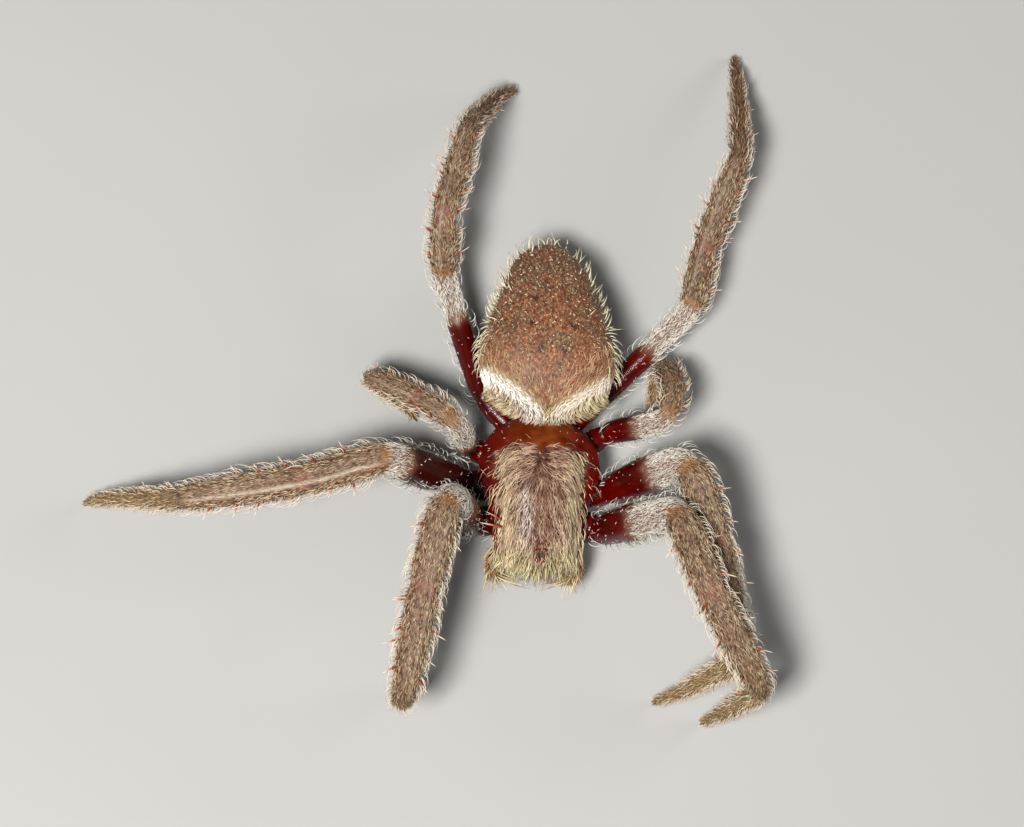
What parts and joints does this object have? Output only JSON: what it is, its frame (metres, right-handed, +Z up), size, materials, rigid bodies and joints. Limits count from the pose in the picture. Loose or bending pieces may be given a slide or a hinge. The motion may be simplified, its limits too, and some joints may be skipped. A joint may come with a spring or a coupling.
{
  "type": "garden orb weaver spider",
  "caption": "Life-size hairy brown garden orb weaver spider, a still model standing on its claws with the front legs arched forward and the rear legs stretched back.",
  "frame": {"origin": "centre of the model's footprint box, on the floor under the spider", "axes": "+Z up, head towards -Y, the spider's left side towards +X"},
  "size_m": [0.044, 0.0472, 0.0144],
  "materials": {
    "hairy_cuticle": "pinkish-brown cuticle under dense short cream and tan hairs",
    "bare_cuticle": "smooth dark red glossy cuticle",
    "abdomen_skin": "granular reddish-brown skin with a cream band of hairs along its front edge",
    "eyes": "polished near-black lenses"
  },
  "bodies": {
    "root": {"leg_1_L_coxa": "bare_cuticle", "leg_1_L_femur": "bare_cuticle", "leg_1_L_patella": "hairy_cuticle", "leg_1_L_tibia": "hairy_cuticle", "leg_1_L_metatarsus": "hairy_cuticle", "leg_1_L_tarsus": "hairy_cuticle", "leg_1_R_coxa": "bare_cuticle", "leg_1_R_femur": "bare_cuticle", "leg_1_R_patella": "hairy_cuticle", "leg_1_R_tibia": "hairy_cuticle", "leg_1_R_metatarsus": "hairy_cuticle", "leg_1_R_tarsus": "hairy_cuticle", "leg_2_L_coxa": "bare_cuticle", "leg_2_L_femur": "bare_cuticle", "leg_2_L_patella": "hairy_cuticle", "leg_2_L_tibia": "hairy_cuticle", "leg_2_L_metatarsus": "hairy_cuticle", "leg_2_L_tarsus": "hairy_cuticle", "leg_2_R_coxa": "bare_cuticle", "leg_2_R_femur": "bare_cuticle", "leg_2_R_patella": "hairy_cuticle", "leg_2_R_tibia": "hairy_cuticle", "leg_2_R_metatarsus": "hairy_cuticle", "leg_2_R_tarsus": "hairy_cuticle", "leg_3_L_coxa": "bare_cuticle", "leg_3_L_femur": "bare_cuticle", "leg_3_L_patella": "hairy_cuticle", "leg_3_L_tibia": "hairy_cuticle", "leg_3_L_metatarsus": "hairy_cuticle", "leg_3_L_tarsus": "hairy_cuticle", "leg_3_R_coxa": "bare_cuticle", "leg_3_R_femur": "bare_cuticle", "leg_3_R_patella": "hairy_cuticle", "leg_3_R_tibia": "hairy_cuticle", "leg_3_R_metatarsus": "hairy_cuticle", "leg_3_R_tarsus": "hairy_cuticle", "leg_4_L_coxa": "bare_cuticle", "leg_4_L_femur": "bare_cuticle", "leg_4_L_patella": "hairy_cuticle", "leg_4_L_tibia": "hairy_cuticle", "leg_4_L_metatarsus": "hairy_cuticle", "leg_4_L_tarsus": "hairy_cuticle", "leg_4_R_coxa": "bare_cuticle", "leg_4_R_femur": "bare_cuticle", "leg_4_R_patella": "hairy_cuticle", "leg_4_R_tibia": "hairy_cuticle", "leg_4_R_metatarsus": "hairy_cuticle", "leg_4_R_tarsus": "hairy_cuticle", "carapace": "hairy_cuticle", "sternum": "bare_cuticle", "pedicel": "bare_cuticle", "abdomen": "abdomen_skin", "spinnerets": "abdomen_skin", "chelicera_L": "bare_cuticle", "chelicera_R": "bare_cuticle", "palp_L": "hairy_cuticle", "palp_R": "hairy_cuticle", "eye_tubercle": "eyes", "eyes_lateral_L": "eyes", "eyes_lateral_R": "eyes"}
  },
  "joints": []
}
